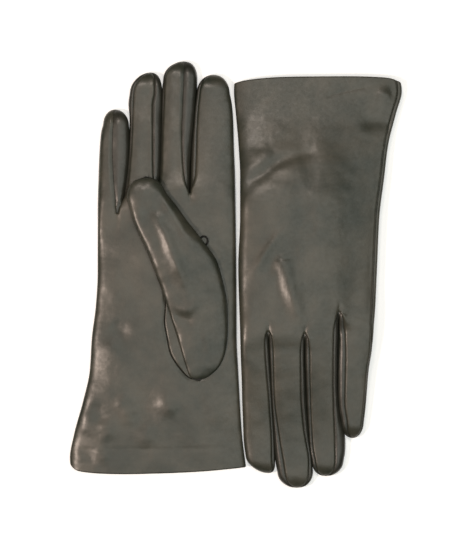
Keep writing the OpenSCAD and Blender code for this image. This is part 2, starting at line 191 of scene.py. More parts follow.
def smooth_curve(points):
    """A monotone cubic through (t, value) points in rising order of t."""
    t, v = np.array(points, float).T
    h = np.diff(t)
    d = np.diff(v) / h
    m = np.zeros_like(v)
    same_way = d[:-1] * d[1:] > 0
    w1, w2 = 2 * h[1:] + h[:-1], h[1:] + 2 * h[:-1]
    safe = np.where(same_way, d[:-1], 1), np.where(same_way, d[1:], 1)
    m[1:-1] = np.where(same_way, (w1 + w2) / (w1 / safe[0] + w2 / safe[1]), 0)
    m[0], m[-1] = d[0], d[-1]

    def at(x):
        x = np.clip(x, t[0], t[-1])
        i = np.clip(np.searchsorted(t, x, side="right") - 1, 0, len(h) - 1)
        s = (x - t[i]) / h[i]
        return ((1 + 2 * s) * (1 - s) ** 2 * v[i] + s * (1 - s) ** 2 * h[i] * m[i]
                + s * s * (3 - 2 * s) * v[i + 1] + s * s * (s - 1) * h[i] * m[i + 1])
    return at


def side_curves(rows):
    """The left and the right edge along t, from rows of (t, left, right)."""
    rows = np.array(rows, float)
    return smooth_curve(rows[:, [0, 1]]), smooth_curve(rows[:, [0, 2]])


def smoothstep(x):
    """A smooth rise from 0 to 1 as x goes from 0 to 1."""
    x = np.clip(x, 0, 1)
    return x * x * (3 - 2 * x)


def spow(v, e):
    """A power that keeps the sign."""
    return np.sign(v) * np.abs(v) ** e


left_lift_along = smooth_curve(LEFT_LIFT)
left_lift_across = smooth_curve(LEFT_SAG)


def lift(glove, x, t):
    """Height of the underside above the surface that the pair lies on."""
    return left_lift_along(t) * left_lift_across(x) if glove["side"] < 0 else np.zeros_like(x)


def ring(xl, xr, gauge, phi, e):
    """Points (x, z) of a rounded flat cross-section of the given thickness."""
    a = np.radians(phi)
    x = (xl + xr) / 2 + (xr - xl) / 2 * spow(np.cos(a), e)
    z = gauge / 2 + gauge / 2 * spow(np.sin(a), e)
    return x, z


# How far a crotch shapes its finger, and how far past the crotches the hand's section lasts
# along the glove's edge.
CROTCH_BLEND = 13
EDGE_BLEND = 26


def angles_round(glove, finger, t, starts):
    """The angle round its section, in degrees, of each point of a finger. A seam's angle
    follows its place in plan, and stays put round the tip."""
    left, right = side_curves(finger["rows"])
    near = np.minimum(t, finger["rows"][-1][0] - 1)
    half, mid = (right(near) - left(near)) / 2, (right(near) + left(near)) / 2

    def angle_of(seam):
        ratio = np.clip((smooth_curve(finger[seam])(near) - mid) / half, -0.94, 0.94)
        return np.degrees(np.arccos(spow(ratio, 1 / FINGER_E)))
    # An edge with no fourchette has the side seam, or on the index finger just a fold.
    fold = {"right": 0, "left": 180}.get(finger.get("edge"), 0) + np.zeros_like(t)
    if "side_seam" in finger:
        fold = angle_of("side_seam") * glove["side"] * -1
        fold = np.where(fold < 0, fold + 360, fold)
    top_right = angle_of("right_seam") if "right_seam" in finger else fold
    top_left = angle_of("left_seam") if "left_seam" in finger else fold
    low_left = np.full_like(t, finger["left_below"]) if "left_seam" in finger else top_left
    low_right = np.full_like(t, finger["right_below"]) if "right_seam" in finger else top_right + 360
    corners = (top_right, top_left, low_left, low_right, top_right + 360)
    phi = np.empty_like(t)
    for k in range(4):
        cols = slice(starts[k], starts[k + 1])
        count = starts[k + 1] - starts[k]
        f = np.arange(count) / max(count, 1)
        phi[:, cols] = corners[k][:, cols] * (1 - f) + corners[k + 1][:, cols] * f
    return phi


def finger_grid(glove, finger, right_crotch, left_crotch):
    """Rows of closed rings from the finger's crotch line to its tip, as points (x, t, z).
    Columns run from the top's right seam over the top, down the left wall, back below
    and up the right wall. Also gives the columns where the four parts begin."""
    tip_t, tip_x = finger["tip"]
    last_t = finger["rows"][-1][0]
    left, right = side_curves(finger["rows"])
    counts = [STRIP_COLUMNS, WALL_COLUMNS * bool(left_crotch),
              STRIP_COLUMNS, WALL_COLUMNS * bool(right_crotch)]
    starts = np.cumsum([0] + counts)
    # The columns start at the crotches, and at edge_t along the glove's edge.
    edge_t = finger.get("edge_t")
    top_right, low_right = (t for t, _ in right_crotch) if right_crotch else (edge_t, edge_t)
    top_left, low_left = (t for t, _ in left_crotch) if left_crotch else (edge_t, edge_t)
    corners = (top_right, top_left, low_left, low_right, top_right)
    t0 = np.concatenate([np.linspace(a, b, n, endpoint=False)
                         for a, b, n in zip(corners[:-1], corners[1:], counts)])
    # The rows are closest together at both ends.
    a = np.linspace(0, 1, FINGER_ROWS + 1)[:-1]
    t = t0 + (1 - (1 - a ** 1.4) ** 1.45)[:, None] * (tip_t - t0)
    # Past the last row of the outline the tip rounds off.
    q = np.clip((t - last_t) / (tip_t - last_t), 0, 1)
    near = np.minimum(t, last_t)
    half = (right(near) - left(near)) / 2 * np.sqrt(np.clip(1 - q * q, 0, 1))
    mid = (right(near) + left(near)) / 2 * (1 - q * q) + tip_x * q * q
    # A finger is deepest at its root, a little thinner along its length, and round at its tip.
    root = smoothstep((glove["knuckle_t"] + 14 - t) / 30)
    along = smoothstep((t - glove["knuckle_t"]) / 70)
    from_tip = np.clip((tip_t - t) / 9.5, 0, 1)
    gauge = FINGER_GAUGE * (1 + 0.1 * root) * (1 - 0.08 * along) * np.sqrt(1 - (1 - from_tip) ** 2 * 0.97)
    phi = angles_round(glove, finger, t, starts)
    # Along the glove's edge the hand's fuller section turns into the finger's slowly.
    e = np.full_like(t, FINGER_E)
    if edge_t is not None:
        outer = np.cos(np.radians(phi)) * {"right": 1, "left": -1}[finger["edge"]] > 0
        e[outer] = (HAND_E + (FINGER_E - HAND_E) * smoothstep((t - edge_t) / EDGE_BLEND))[outer]
    x, z = ring(mid - half, mid + half, gauge, phi, e)
    z += (FINGER_GAUGE - gauge) * 0.35 * (1 - root)
    z += lift(glove, mid, t)
    points = np.stack([x, t, z], -1)
    fade = 1 - smoothstep((t - t0) / CROTCH_BLEND)
    points += fade[..., None] * crotch_pull(glove, points[0], starts, left_crotch, right_crotch)
    return points, starts, phi[0]


def crotch_pull(glove, row, starts, left_crotch, right_crotch):
    """How far each point of a finger's first row moves, so that the walls of two neighbours
    meet on one line at their crotch."""
    pull = np.zeros_like(row)
    for crotch, first, last in ((left_crotch, starts[1], starts[2]), (right_crotch, starts[4], starts[3])):
        if crotch:
            # The line runs from near the top of the hand to near its underside.
            (t_top, x_top), (t_below, x_below) = crotch
            f = np.linspace(0, 1, WALL_COLUMNS + 1)
            x, t = x_top + (x_below - x_top) * f, t_top + (t_below - t_top) * f
            z = HAND_GAUGE * (0.91 - 0.72 * f) + lift(glove, x, t)
            cols = np.linspace(first, last, WALL_COLUMNS + 1).round().astype(int) % len(row)
            pull[cols] = np.stack([x, t, z], -1) - row[cols]
    for first, last in ((starts[0], starts[1]), (starts[2], starts[3])):
        # The strip's crown keeps its own height, and only its sides are drawn in.
        f = (np.arange(1, STRIP_COLUMNS) / STRIP_COLUMNS)[:, None]
        pull[first + 1:last] = pull[first] * (1 - f) ** 2 + pull[last % len(row)] * f ** 2
    return pull


# How far down the sleeve its last row's shape is felt: in plan, and in height at a crotch
# and at the glove's edge.
PLAN_REACH = 26
CROTCH_REACH = 9
EDGE_REACH = 29


def sleeve_grid(glove, end, end_phi):
    """Rows of closed rings from the cuff's edge to the points end, where the fingers start."""
    left, right = side_curves(glove["sleeve"])
    xl, xr = left(end[:, 1]), right(end[:, 1])
    ratio = np.clip((end[:, 0] - (xl + xr) / 2) / ((xr - xl) / 2), -1, 1)
    base = np.degrees(np.arccos(spow(ratio, 1 / HAND_E)))
    phi = np.where(np.mod(end_phi, 360) <= 180, base + np.where(end_phi >= 360, 360, 0), 360 - base)
    x_cuff = ring(left(CUFF_MOUTH_T), right(CUFF_MOUTH_T), HAND_GAUGE, phi, HAND_E)[0]
    t_cuff = smooth_curve(glove["cuff_edge"])(x_cuff)
    t = t_cuff + np.linspace(0, 1, SLEEVE_ROWS + 1)[:, None] * (end[:, 1] - t_cuff)
    gauge = HAND_GAUGE * (0.86 + 0.14 * smoothstep((t + 129) / 60))
    x, z = ring(left(t), right(t), gauge, phi, HAND_E)
    z = np.maximum(z - 0.15, 0) + lift(glove, x, t)
    sleeve = np.stack([x, t, z], -1)
    across = smoothstep(1 - (end[:, 1] - t) / PLAN_REACH) ** 1.5
    # A crotch's dip is short, but the edge takes on the outer finger's section slowly.
    reach = CROTCH_REACH + (EDGE_REACH - CROTCH_REACH) * smoothstep((np.abs(ratio) - 0.6) / 0.25)
    upward = smoothstep(1 - (end[:, 1] - t) / reach) ** 1.2
    return sleeve + np.stack([across, across, upward], -1) * (end - sleeve[-1])


def quads_between(table):
    """The quads between the rows of a table of point numbers, whose rows are closed rings."""
    beside = np.roll(table, -1, axis=1)
    return np.stack([table[:-1], beside[:-1], beside[1:], table[1:]], -1).reshape(-1, 4)


def glove_grid(glove):
    """One sheet for the whole skin: points, faces, the piece that each face belongs to, lines
    of points along the seams, the sleeve's table of points and how many rows its hem has."""
    points, faces, piece, seams = [], [], [], {}
    crotches = [None] + glove["crotches"] + [None]
    tables, all_starts, all_phi = [], [], []
    for k, finger in enumerate(glove["fingers"]):
        grid, starts, phi = finger_grid(glove, finger, crotches[k], crotches[k + 1])
        rows, total = grid.shape[:2]
        table = np.empty((rows, total), int)
        fresh = np.ones((rows, total), bool)
        if k:
            # This finger's right wall and the last finger's left wall share their first row.
            fresh[0, starts[3]:] = fresh[0, 0] = False
            steps = (total - np.arange(total)) % total
            before = tables[-1][0]
            table[0] = before[(all_starts[-1][1] + steps) % len(before)]
        table[fresh] = len(points) + np.arange(fresh.sum())
        points += list(grid[fresh])
        tip_t, tip_x = finger["tip"]
        pole = len(points)
        points.append(np.array([tip_x, tip_t, grid[-1, :, 2].mean()]))
        faces += [*quads_between(table)] + [[a, b, pole] for a, b in zip(table[-1], np.roll(table[-1], -1))]
        name = finger["name"]
        walls = [starts[1] <= c < starts[2] or starts[3] <= c < starts[4] for c in range(total)]
        piece += [name + "_walls" if wall else name for wall in walls] * rows
        if "left_seam" in finger:
            seams[f"{name} left top"] = table[:, starts[1]]
            seams[f"{name} left below"] = table[:, starts[2] % total]
        if "right_seam" in finger:
            seams[f"{name} right top"] = table[:, 0]
            seams[f"{name} right below"] = table[:, starts[3]]
        if "side_seam" in finger:
            seams[f"{name} side"] = table[:, 0 if finger["edge"] == "right" else starts[1]]
        tables.append(table)
        all_starts.append(starts)
        all_phi.append(phi)

    def round_the_hand(rows):
        over = [row[:starts[1]] for row, starts in zip(rows, all_starts)]
        under = [row[starts[2]:starts[3]] for row, starts in zip(rows, all_starts)]
        return np.concatenate(over + under[::-1])

    # The sleeve's last row is the first row of the four fingers, top then underside.
    end_ids = round_the_hand([table[0] for table in tables])
    sleeve = sleeve_grid(glove, np.array(points)[end_ids], round_the_hand(all_phi))
    table = np.arange(SLEEVE_ROWS * len(end_ids)).reshape(SLEEVE_ROWS, -1) + len(points)
    table = np.vstack([table, end_ids])
    points += list(sleeve[:-1].reshape(-1, 3))
    faces += [*quads_between(table)]
    row_t = sleeve[:, :, 1].mean(axis=1)
    hem_rows, cuff_rows = np.searchsorted(row_t, (row_t[0] + HEM_DEPTH, CUFF_SPLIT_T))
    for i in range(SLEEVE_ROWS):
        piece += ["hem" if i < hem_rows else "cuff" if i < cuff_rows else "hand"] * len(end_ids)
    seams["side"] = table[:, 0 if glove["side"] < 0 else len(FINGERS) * STRIP_COLUMNS]
    return np.array(points), faces, piece, seams, table, hem_rows


def mesh_object(name, points, faces):
    """A new object with this mesh."""
    mesh = bpy.data.meshes.new(name)
    mesh.from_pydata([tuple(map(float, p)) for p in points], [], [tuple(map(int, f)) for f in faces])
    obj = bpy.data.objects.new(name, mesh)
    bpy.context.scene.collection.objects.link(obj)
    return obj


def subdivided(name, points, faces, kinds):
    """A sheet made twice as fine: its points, its quads and each quad's kind."""
    coarse = mesh_object(name, points, faces)
    coarse.data.polygons.foreach_set("material_index", kinds)
    coarse.modifiers.new("fine", "SUBSURF").levels = 1
    fine = coarse.evaluated_get(bpy.context.evaluated_depsgraph_get())
    mesh = fine.to_mesh()
    places = np.empty(len(mesh.vertices) * 3)
    mesh.vertices.foreach_get("co", places)
    quads = np.empty(len(mesh.loops), int)
    mesh.loops.foreach_get("vertex_index", quads)
    kind = np.empty(len(mesh.polygons), int)
    mesh.polygons.foreach_get("material_index", kind)
    fine.to_mesh_clear()
    bpy.data.objects.remove(coarse)
    return places.reshape(-1, 3), quads.reshape(-1, 4), kind


def quad_normals(points, faces):
    """Normals of the quads, as long as twice their area."""
    a, b, c, d = (points[faces[:, k]] for k in range(4))
    return np.cross(c - a, d - b)


def point_normals(points, faces, count):
    """Area-weighted normals at the points, from the given quads only."""
    n = quad_normals(points, faces)
    total = np.zeros((count, 3))
    for k in range(4):
        np.add.at(total, faces[:, k], n)
    return total / np.maximum(np.linalg.norm(total, axis=1), 1e-12)[:, None]


def shell(name, points, normals, faces, thickness):
    """A closed sheet of leather or knit: the quads, the same quads pushed in along the
    normals, and a rim round every open edge."""
    used, local = np.unique(faces, return_inverse=True)
    local = local.reshape(faces.shape)
    outer, n = points[used], normals[used]
    inner = outer - n * thickness
    count = len(used)
    edges = np.concatenate([local[:, [k, (k + 1) % 4]] for k in range(4)])
    edges = edges[edges[:, 0] != edges[:, 1]]
    key = edges[:, 0] * count + edges[:, 1]
    back = edges[:, 1] * count + edges[:, 0]
    rim = edges[~np.isin(key, back)]
    rim_faces = np.stack([rim[:, 1], rim[:, 0], rim[:, 0] + count, rim[:, 1] + count], -1)
    all_points = np.concatenate([outer, inner])
    all_faces = np.concatenate([local, local[:, ::-1] + count, rim_faces])
    # A triangle comes as a quad with its last point twice.
    keep = all_faces != np.roll(all_faces, 1, axis=1)
    obj = mesh_object(name, all_points, [f[k] for f, k in zip(all_faces, keep)])
    mesh = obj.data
    rim_n = quad_normals(all_points, rim_faces)
    rim_n /= np.maximum(np.linalg.norm(rim_n, axis=1), 1e-12)[:, None]
    loop_normals = np.concatenate([n[local].reshape(-1, 3), -n[local[:, ::-1]].reshape(-1, 3),
                                   np.repeat(rim_n, 4, axis=0)])
    mesh.polygons.foreach_set("use_smooth", [True] * len(mesh.polygons))
    mesh.normals_split_custom_set([tuple(v) for v in loop_normals[keep.ravel()]])
    return obj


def nearest_on_line(points, line):
    """In plan, from each point to a line of (x, t) points: the distance, how far along the
    line the nearest place is, and that place."""
    line = np.array(line, float)
    best = np.full(len(points), np.inf)
    along, nearest = np.zeros(len(points)), np.zeros((len(points), 2))
    for k, (a, b) in enumerate(zip(line[:-1], line[1:])):
        d = b - a
        s = np.clip(((points[:, :2] - a) @ d) / (d @ d), 0, 1)
        place = a + s[:, None] * d
        gap = np.linalg.norm(points[:, :2] - place, axis=1)
        closer = gap < best
        best[closer], nearest[closer] = gap[closer], place[closer]
        along[closer] = (k + s[closer]) / (len(line) - 1)
    return best, along, nearest


# Folds that handling has left, as (height, half width, line of (x, t) points). A fold
# stands up where its height is above zero. They fade out over FOLD_FADE of their length at
# both ends.
FOLD_FADE = 0.4
RIGHT_FOLDS = [
    (-0.6, 2.6, [(-19, -10), (-14, -14), (-9, -24)]),
    (-0.5, 9.0, [(-64, -58), (-61, -82), (-60, -108)]),
    (-0.6, 6.0, [(-82, -31), (-76, -36), (-67, -37)]),
    (0.6, 6.0, [(-86, -42), (-80, -49), (-74, -58)]),
    (0.7, 6.5, [(-78, -78), (-71, -84), (-62, -90)]),
    (0.9, 5.2, [(-51, -78), (-44, -85), (-37, -90)]),
    (0.6, 4.2, [(-71, -84), (-69, -92), (-68, -100)]),
    (0.5, 5.4, [(-61, -96), (-58, -104), (-54, -112)]),
    (0.6, 4.4, [(-20, -74), (-14, -88), (-11, -102)]),
    (-0.2, 1.4, [(-122, -112.5), (-60, -113.2), (22, -111.5)]),
    (0.45, 5.0, [(-98, -84), (-97, -96), (-98, -106)]),
    (-0.6, 5.5, [(-94, -82), (-88, -89), (-84, -100)]),
    (0.6, 5.2, [(-88, -92), (-83, -100), (-79, -108)]),
    (0.4, 4.0, [(-92, -111), (-86, -116), (-80, -119)]),
    (-0.4, 3.5, [(-100, -110), (-95, -118), (-93, -126)]),
    (-0.35, 1.7, [(-20, 19), (-12, 13), (-3, 9)]),
    (0.3, 1.8, [(-18, 14), (-11, 9), (-3, 4)]),
    (-0.3, 1.7, [(-18, 24), (-10, 20), (-3, 17)]),
    (-0.4, 9.0, [(-78, 20), (-70, 0), (-66, -20)]),
]
LEFT_FOLDS = [
    (1.7, 4.6, [(25, -24), (29, -11), (33.2, 2), (36, 13), (39.5, 25), (43, 37)]),
    (-0.8, 4.0, [(-7, -40), (2, -48), (11, -60), (22, -69), (33, -75), (48, -78), (58, -78)]),
    (0.35, 5.0, [(6, -66), (16, -76), (30, -84)]),
    (0.8, 2.8, [(7, 8), (13, -4), (20, -16), (28, -26), (38, -34)]),
    (-0.4, 3.0, [(17, 4), (24, -9), (33, -20)]),
    (-0.6, 8.0, [(36, -106), (45, -80), (52, -62), (58, -46)]),
    (-0.45, 7.0, [(37, -62), (44, -44), (48, -28), (56, -14)]),
    (0.22, 2.2, [(41, -34), (41.5, 0), (41, 34)]),
    (-0.18, 1.0, [(18, -11), (30, -10), (43, -11)]),
    (0.9, 4.0, [(91, -120), (96, -116), (101, -117)]),
    (-1.0, 7.0, [(78, -103), (87, -100), (97, -100), (104, -102)]),
    (-0.3, 1.2, [(50, -112), (68, -118), (80, -120.5), (92, -122)]),
    (-0.2, 1.0, [(55, -120), (70, -121), (84, -123)]),
]


THUMB_FOLDS = [
    (1.1, 3.5, [(-54, 46), (-48.5, 33), (-43, 19), (-37.5, 6), (-32, -8), (-26, -23)]),
    (0.5, 2.4, [(-58, 57), (-48, 52), (-41, 40), (-34, 28), (-27, 17), (-22, 8)]),
    (-0.6, 3.4, [(-62, 43), (-56, 40), (-49, 42), (-44, 46)]),
    (-0.6, 2.6, [(-43, -20), (-38, -27), (-31, -30), (-24, -26)]),
    (0.7, 3.2, [(-39, -19), (-31, -23), (-25, -18), (-18, -10)]),
    (-0.35, 2.2, [(-28, -19), (-21, -13), (-12, -11)]),
    (-0.35, 3.0, [(-24, -31), (-22, -45), (-24, -60)]),
]

# The leather's unevenness, as layers of (waves per mm, height, shift along x). The hand's
# slowest layer has each glove's own height.
HAND_WAVES = [(0.14, 0.14, 0), (0.4, 0.04, 0)]
THUMB_WAVES = [(0.07, 0.45, 40), (0.2, 0.18, 0)]


def folds_at(points, folds):
    """Height of the folds at each point."""
    height = np.zeros(len(points))
    for peak, half, line in folds:
        d, along, _ = nearest_on_line(points, line)
        ends = smoothstep(along / FOLD_FADE) * smoothstep((1 - along) / FOLD_FADE)
        height += peak * ends * np.exp(-((d / half) ** 2))
    return height


def unevenness(points, waves):
    """Soft, irregular height at each point."""
    return np.array([sum(noise.noise(Vector(p * fine + np.array((shift, 0, 0)))) * high
                         for fine, high, shift in waves) for p in points])


def sculpt(glove, points, normals):
    """The skin with its unevenness and the folds on its upper side."""
    up = smoothstep((normals[:, 2] - 0.15) / 0.6)
    folds = up * folds_at(points, RIGHT_FOLDS if glove["side"] > 0 else LEFT_FOLDS)
    uneven = unevenness(points, [(0.05, glove["uneven"], 0)] + HAND_WAVES)
    return points + normals * (folds + uneven * np.abs(normals[:, 2]) ** 2)[:, None]


def sculpt_thumb(glove, points, normals):
    """The thumb with its unevenness and, on the right glove, its folds."""
    top = smoothstep((normals[:, 2] * glove["side"] - 0.1) / 0.6)
    move = unevenness(points, THUMB_WAVES)
    if glove["side"] > 0:
        move += top * folds_at(points, THUMB_FOLDS)
    return points + normals * (move * np.where(top > 0.2, 1, 0.25))[:, None]


# A seam's furrow and the low ridge on both sides of it, as (height, half width), and how
# far the ridge is from the seam.
SEAM_FURROW = (0.58, 0.6)
SEAM_RIDGE = (0.1, 0.9)
RIDGE_AWAY = 1.7


def furrow(points, normals, seam_lines):
    """Seams pull the leather in along their line and raise it a little on both sides."""
    marks = [p for line in seam_lines for a, b in zip(line[:-1], line[1:])
             for p in (a, a * 0.5 + b * 0.5)]
    tree = KDTree(len(marks))
    for k, p in enumerate(marks):
        tree.insert(Vector(p), k)
    tree.balance()
    d = np.array([tree.find(Vector(p))[2] for p in points])
    pull = SEAM_FURROW[0] * np.exp(-((d / SEAM_FURROW[1]) ** 2))
    pull -= SEAM_RIDGE[0] * np.exp(-(((d - RIDGE_AWAY) / SEAM_RIDGE[1]) ** 2))
    return points - normals * pull[:, None]


def node_material(name):
    """A new material, with its nodes, its links and its main shader."""
    material = bpy.data.materials.new(name)
    material.use_nodes = True
    nodes, links = material.node_tree.nodes, material.node_tree.links
    return material, nodes, links, nodes["Principled BSDF"]


def set_inputs(node, **values):
    """Sets a node's inputs, named in small letters with underscores."""
    for name, value in values.items():
        node.inputs[name.replace("_", " ").title()].default_value = value


def bump(nodes, links, height, strength, distance, below=None):
    """A bump from a height, on top of another bump if one is given."""
    node = nodes.new("ShaderNodeBump")
    set_inputs(node, strength=strength, distance=distance)
    links.new(height, node.inputs["Height"])
    if below:
        links.new(below, node.inputs["Normal"])
    return node.outputs["Normal"]


def texture(nodes, links, kind, **values):
    """A texture in the object's own coordinates."""
    node = nodes.new(f"ShaderNodeTex{kind}")
    set_inputs(node, **values)
    links.new(nodes.new("ShaderNodeTexCoord").outputs["Object"], node.inputs["Vector"])
    return node


def leather(name, dark, light, rough):
    """Dyed leather: a mottled colour, uneven shine, fine pores and soft crinkles."""
    material, nodes, links, shader = node_material(name)
    mottle = texture(nodes, links, "Noise", scale=38, detail=5, roughness=0.62)
    ramp = nodes.new("ShaderNodeValToRGB")
    for stop, at, colour in zip(ramp.color_ramp.elements, (0.36, 0.64), (dark, light)):
        stop.position = at
        stop.color = (*colour, 1)
    links.new(mottle.outputs["Fac"], ramp.inputs["Fac"])
    links.new(ramp.outputs["Color"], shader.inputs["Base Color"])
    pores = texture(nodes, links, "Voronoi", scale=1400)
    pores.feature = "DISTANCE_TO_EDGE"
    crinkle = texture(nodes, links, "Noise", scale=420, detail=4)
    shine = nodes.new("ShaderNodeMapRange")
    set_inputs(shine, from_min=0.3, from_max=0.7, to_min=rough - 0.06, to_max=rough + 0.07)
    links.new(crinkle.outputs["Fac"], shine.inputs["Value"])
    links.new(shine.outputs["Result"], shader.inputs["Roughness"])
    fine = bump(nodes, links, pores.outputs["Distance"], 0.5, 0.00005)
    soft = bump(nodes, links, crinkle.outputs["Fac"], 0.5, 0.00014, fine)
    links.new(soft, shader.inputs["Normal"])
    set_inputs(shader, coat_weight=0.22, coat_roughness=0.24)
    return material


def knit(name, colour):
    """Fine ribbed knit, or sewing thread."""
    material, nodes, links, shader = node_material(name)
    set_inputs(shader, base_color=(*colour, 1), roughness=0.9)
    ribs = texture(nodes, links, "Wave", scale=260, distortion=1.5)
    links.new(bump(nodes, links, ribs.outputs["Color"], 1, 0.0003), shader.inputs["Normal"])
    return material


# The material of each slot.
LOOKS = {
    "leather": leather("smooth_leather", (0.018, 0.023, 0.015), (0.055, 0.053, 0.039), 0.42),
    # The fourchettes' leather is much darker than the rest: painted shade for the slits between the
    # fingers, on top of the leather's own mottled tone.
    "fourchette_leather": leather("fourchette_leather", (0.015, 0.017, 0.012), (0.028, 0.028, 0.021), 0.4),
    "lining": knit("knit_lining", (0.02, 0.02, 0.02)),
    "thread": knit("thread", (0.01, 0.01, 0.009)),
}


def in_frame(glove, points):
    """Points (x, t, z) in millimetres as points of the frame in metres."""
    return points * np.array((MM, glove["side"] * MM, MM))


def skin_of(glove):
    """The glove's whole skin, shaped and fine: points, quads, piece names and the seams."""
    points, faces, piece, seams, sleeve, hem_rows = glove_grid(glove)
    kinds = sorted(set(piece))
    dense, quads, kind = subdivided("skin", points, faces, [kinds.index(k) for k in piece])
    quads = quads[:, ::-1]
    dense = sculpt(glove, dense, point_normals(dense, quads, len(dense)))
    normals = point_normals(dense, quads, len(dense))
    dense = furrow(dense, normals, [dense[line] for line in seams.values()])
    coarse = np.array([f if len(f) == 4 else [*f, f[2]] for f in faces])[:, ::-1]
    return {"points": dense, "normals": point_normals(dense, quads, len(dense)), "quads": quads,
            "kind": np.array(kinds)[kind], "coarse": coarse, "coarse_kind": np.array(piece),
            "seams": seams, "sleeve": sleeve, "hem_rows": hem_rows}


def surface(points, quads):
    """A tree that finds the surface's height over a place."""
    return BVHTree.FromPolygons([tuple(p) for p in points], [tuple(map(int, q)) for q in quads])


def height_at(tree, x, t, side):
    """Height of the palm at a place: the right glove's upper side, the left glove's underside."""
    hit = tree.ray_cast(Vector((x, t, 60 * side)), Vector((0, 0, -side)))[0]
    return hit.z if hit else None


def spline(points, steps):
    """A smooth line through the points, with the given number of steps between neighbours."""
    p = np.array(points, float)
    p = np.concatenate([[2 * p[0] - p[1]], p, [2 * p[-1] - p[-2]]])
    out = []
    for k in range(1, len(p) - 2):
        a, b, c, d = p[k - 1], p[k], p[k + 1], p[k + 2]
        for s in np.arange(steps[k - 1]) / steps[k - 1]:
            out.append(0.5 * (2 * b + (c - a) * s + (2 * a - 5 * b + 4 * c - d) * s * s
                              + (3 * b - a - 3 * c + d) * s ** 3))
    out.append(p[-2])
    return np.array(out)


# The thumb in its own frame: u runs from the foot of its hole to its tip, v across it, and
# w up from the palm. left, right and arc are (u, v), arc being the line where its left side
# is sewn in. height is (u, w). The thumb folds at fold, its left side tucks in between the
# two values of tucked, and its underside closes up between those of closes.
THUMB = {
    "left": [(-1.6, 3.2), (-0.4, -0.4), (2, -2.1), (22, -4), (53, -6.9), (87, -11.7), (110, -16.2),
             (121, -16.9)],
    "right": [(-1.6, 7.4), (-0.6, 10.6), (4.3, 18.4), (12.9, 24.3), (29.8, 29.5), (48.5, 32.3),
              (67.9, 31.7), (86, 25), (99.5, 18.6), (112, 13.1), (121, 8.6)],
    "arc": [(-1.6, 3.1), (-0.4, -0.8), (0.8, -2.6), (7.3, -6.9), (20.8, -11.2), (36.8, -11),
            (50, -7.6), (57, -6.2)],
    "height": [(-1.6, 0.7), (0, 1.4), (5, 2.2), (20, 3.1), (40, 4), (62, 5.8), (90, 7.2), (121, 7.2)],
    "tip": (133.7, -4.5),
    "fold": 80,
    "tucked": (4, 50),
    "closes": (57, 88),
}
THUMB_ROWS = 60
PALM_HOLE = {"from": 7, "to": 72, "rim": 4.5}


def thumb_place(glove, u, v):
    """(x, t) in the glove for a place in the thumb's own frame."""
    a = math.radians(glove["thumb_lean"])
    x0, t0 = glove["thumb_root"]
    dx = glove["thumb_size"] * (-u * math.sin(a) + v * math.cos(a))
    dt = glove["thumb_size"] * (u * math.cos(a) + v * math.sin(a))
    return x0 + glove["side"] * dx, t0 + dt


def thumb_section(u):
    """The thumb's cross-section at u: from the seam's left arc, in under the fold, over the
    top and down to the seam's right side."""
    last = THUMB["left"][-1][0]
    left, right, high = (smooth_curve(THUMB[k])(min(u, last)) for k in ("left", "right", "height"))
    # Past the last rows of the outline the tip rounds off.
    tip_u, tip_v = THUMB["tip"]
    q = max(0.0, (u - last) / (tip_u - last))
    mid = (left + right) / 2 * (1 - q * q) + tip_v * q * q
    half = (right - left) / 2 * math.sqrt(max(0.0, 1 - q * q))
    left, right = mid - half, mid + half
    fullness = math.sqrt(max(0.0, 1 - q ** 2.6))
    rise = high * (0.18 + 0.82 * fullness)
    # The underside tucks in along the fold, then closes up where the thumb comes free.
    a, b = THUMB["tucked"]
    tucked = smoothstep((u - a) / 16) * smoothstep((b - u) / 22)
    c0, c1 = THUMB["closes"]
    closed = smoothstep((u - c0) / (c1 - c0))
    turned = smoothstep((u - 76) / (c1 - 76))
    low = high * 0.3 * (1 - fullness) + 0.45 * closed
    arc = smooth_curve(THUMB["arc"])(min(u, THUMB["arc"][-1][0]))
    arc = min(arc, left + 0.35 * half)
    under = right - 0.3 * half
    start = arc * (1 - closed) + under * closed
    end = (right - 0.3) * (1 - turned) + under * turned
    inner = left + 1.2 + 3.6 * tucked
    # Near its foot the thumb slopes gently down to its right seam.
    slope = 1 - smoothstep((u - 45) / 40)
    outline = [
        (start, 0.15 - 0.6 * slope + low),
        (start + 0.6 * (1 - closed), 0.35 + low),
        (start * 0.5 + inner * 0.5, 0.5 + low),
        (inner, 0.6 + 0.1 * tucked + low),
        (left + 0.1 * half * (1 - tucked), 0.28 * rise + 0.15 + low),
        (left, 0.45 * rise + low),
        (left + 0.03 * half, 0.72 * rise + low),
        (left + 0.16 * half, 0.92 * rise + low),
        (mid - 0.3 * half, rise + low),
        (mid + 0.2 * half, (1 - 0.03 * slope) * rise + low),
        (right - (0.26 + 0.1 * slope) * half, (0.9 + 0.01 * slope) * rise + low),
        (right - 0.07 * half, (0.66 + 0.06 * slope) * rise + low),
        (right, (0.42 - 0.24 * slope) * rise + low),
        (right - 0.12 * half * turned, (0.2 - 0.2 * slope) * rise - 0.2 * slope + low),
        (end, 0.15 - 0.6 * slope + low),
    ]
    return spline(outline, [1, 3, 2, 2, 1, 2, 2, 3, 3, 3, 2, 2, 1, 2])


def on_palm(glove, palm, u, v, w):
    """The place (x, t, z) of a point of the thumb that lies on the palm."""
    x, t = thumb_place(glove, u, v)
    return x, t, resting_height(glove, palm, x, t, w) + glove["side"] * w


